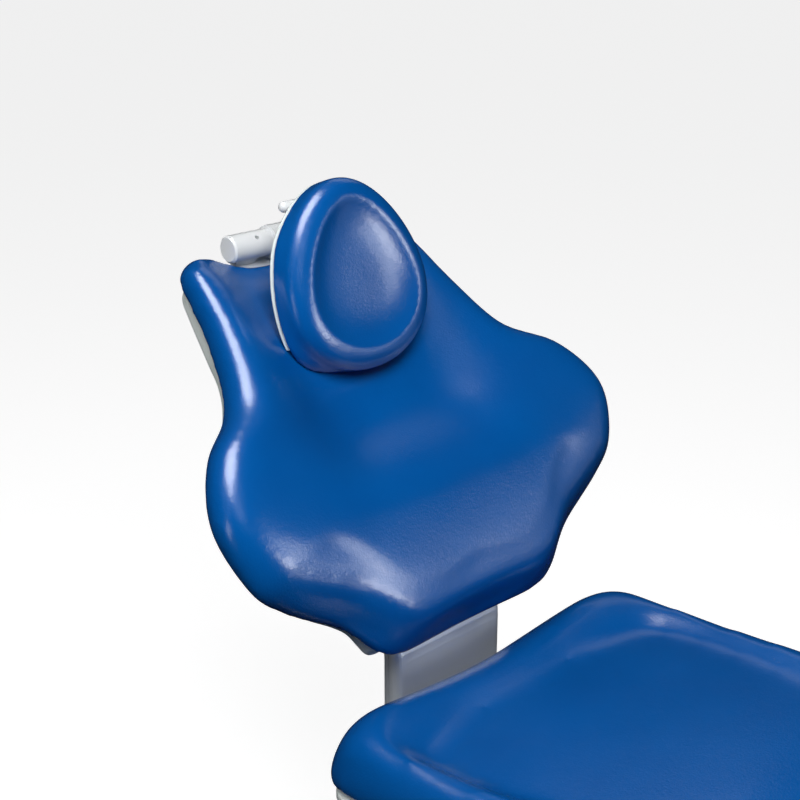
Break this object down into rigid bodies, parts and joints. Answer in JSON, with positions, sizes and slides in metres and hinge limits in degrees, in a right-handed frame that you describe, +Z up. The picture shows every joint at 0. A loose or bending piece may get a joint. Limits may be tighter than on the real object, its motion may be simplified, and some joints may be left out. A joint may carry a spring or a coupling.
{
  "type": "dental chair",
  "caption": "Powered dental patient chair: telescopic column, one-piece seat and leg section, reclining butterfly backrest, swinging headrest on a glide bar.",
  "frame": {"origin": "centre of the floor plate's underside, on the lift column's axis, on the floor", "axes": "+Z up, +Y towards the patient's head, +X towards the patient's left"},
  "size_m": [0.624, 1.5236, 1.1239],
  "materials": {
    "blue_vinyl": "seamless glossy vinyl upholstery",
    "white_plastic": "satin moulded shell",
    "grey_plastic": "satin moulded cover",
    "white_metal": "gloss enamel",
    "painted_steel": "satin powder coat",
    "cast_aluminium": "as cast, bead blasted",
    "bright_steel": "ground",
    "zinc_fasteners": "bright zinc",
    "blue_steel": "gloss enamel",
    "bearing_plastic": "natural nylon",
    "black_plastic": "fine texture",
    "tank_plastic": "translucent natural",
    "red_plastic": "gloss",
    "pedal_rubber": "ribbed rubber",
    "plywood": "birch plywood"
  },
  "bodies": {
    "base": {"base_plate": "painted_steel", "base_cover": "white_plastic", "cover_screws": "zinc_fasteners", "column_tube": "painted_steel", "column_bolts": "zinc_fasteners", "column_guide": "bearing_plastic", "shroud_lower": "white_plastic", "ram_cylinder": "blue_steel", "pump_motor": "painted_steel", "fluid_tank": "tank_plastic", "control_box": "black_plastic", "power_inlet": "black_plastic", "pedal_frame": "painted_steel", "pedal_pins": "bright_steel"},
    "power_switch": {"power_switch": "red_plastic"},
    "lift_pedal": {"lift_pedal": "pedal_rubber"},
    "recline_pedal": {"recline_pedal": "pedal_rubber"},
    "stage": {"column_stage": "painted_steel", "stage_guide": "bearing_plastic", "ram_stage": "bright_steel", "shroud_middle": "white_plastic"},
    "seat": {"column_slide": "bright_steel", "ram_rod": "bright_steel", "shroud_upper": "white_plastic", "seat_casting": "cast_aluminium", "seat_rails": "painted_steel", "rail_bolts": "zinc_fasteners", "hinge_pin": "bright_steel", "seat_pan": "white_plastic", "seat_cushion": "blue_vinyl", "actuator_body": "black_plastic", "actuator_clevis": "cast_aluminium"},
    "actuator_rod": {"actuator_rod": "bright_steel"},
    "backrest": {"back_arm": "painted_steel", "lever_pin": "bright_steel", "arm_cover_front": "grey_plastic", "arm_cover_rear": "grey_plastic", "back_shell": "white_plastic", "back_board": "plywood", "back_cushion": "blue_vinyl", "glide_track": "painted_steel", "shell_screws": "zinc_fasteners"},
    "headrest_bar": {"glide_bar": "white_metal", "lower_barrel": "white_metal", "barrel_pin": "bright_steel"},
    "headrest_link": {"link_arm": "white_metal"},
    "release_lever": {"release_lever": "white_metal"},
    "headrest": {"link_pin": "bright_steel", "upper_barrel": "white_metal", "pad_shell": "white_plastic", "pad_screws": "zinc_fasteners", "headrest_pad": "blue_vinyl"}
  },
  "joints": [
    {"name": "lift", "type": "slide", "parent": "base", "child": "seat", "axis": [0, 0, 1], "range_m": [-0.1, 0.26]},
    {"name": "stage_lift", "type": "slide", "parent": "base", "child": "stage", "axis": [0, 0, 1], "range_m": [-0.05, 0.13]},
    {"name": "recline", "type": "hinge", "parent": "seat", "child": "backrest", "pos_m": [0, 0.358, 0.47], "axis": [-1, 0, 0], "range_deg": [-12, 50]},
    {"name": "actuator_travel", "type": "slide", "parent": "seat", "child": "actuator_rod", "axis": [0, -1, 0], "range_m": [-0.0122, 0.0502]},
    {"name": "headrest_glide", "type": "slide", "parent": "backrest", "child": "headrest_bar", "axis": [0, 0.7302, 0.6833], "range_m": [0, 0.12]},
    {"name": "headrest_swing", "type": "hinge", "parent": "headrest_bar", "child": "headrest_link", "pos_m": [0, 0.653, 1.031], "axis": [-1, 0, 0], "range_deg": [0, 205]},
    {"name": "headrest_tilt", "type": "hinge", "parent": "headrest_link", "child": "headrest", "pos_m": [0, 0.54994, 0.9744], "axis": [-1, 0, 0], "range_deg": [-137.1, 0.1]},
    {"name": "headrest_release", "type": "hinge", "parent": "headrest_link", "child": "release_lever", "pos_m": [0, 0.61326, 1.02857], "axis": [-1, 0, 0], "range_deg": [0, 12], "stiffness_Nm_per_rad": 1.5, "springref_deg": -11.46},
    {"name": "lift_pedal_rock", "type": "hinge", "parent": "base", "child": "lift_pedal", "pos_m": [-0.24, -0.11, 0.034], "axis": [1, 0, 0], "range_deg": [-7, 7], "stiffness_Nm_per_rad": 6},
    {"name": "recline_pedal_rock", "type": "hinge", "parent": "base", "child": "recline_pedal", "pos_m": [-0.24, 0.11, 0.034], "axis": [1, 0, 0], "range_deg": [-7, 7], "stiffness_Nm_per_rad": 6},
    {"name": "power_rock", "type": "hinge", "parent": "base", "child": "power_switch", "pos_m": [0.1365, 0.326, 0.039], "axis": [1, 0, 0], "range_deg": [0, 11]}
  ],
  "couplings": [
    {"joint": "stage_lift", "follows": "lift", "ratio": 0.5},
    {"joint": "actuator_travel", "follows": "recline", "m_per_rad": 0.057},
    {"joint": "headrest_tilt", "follows": "headrest_swing", "ratio": -0.6683}
  ]
}
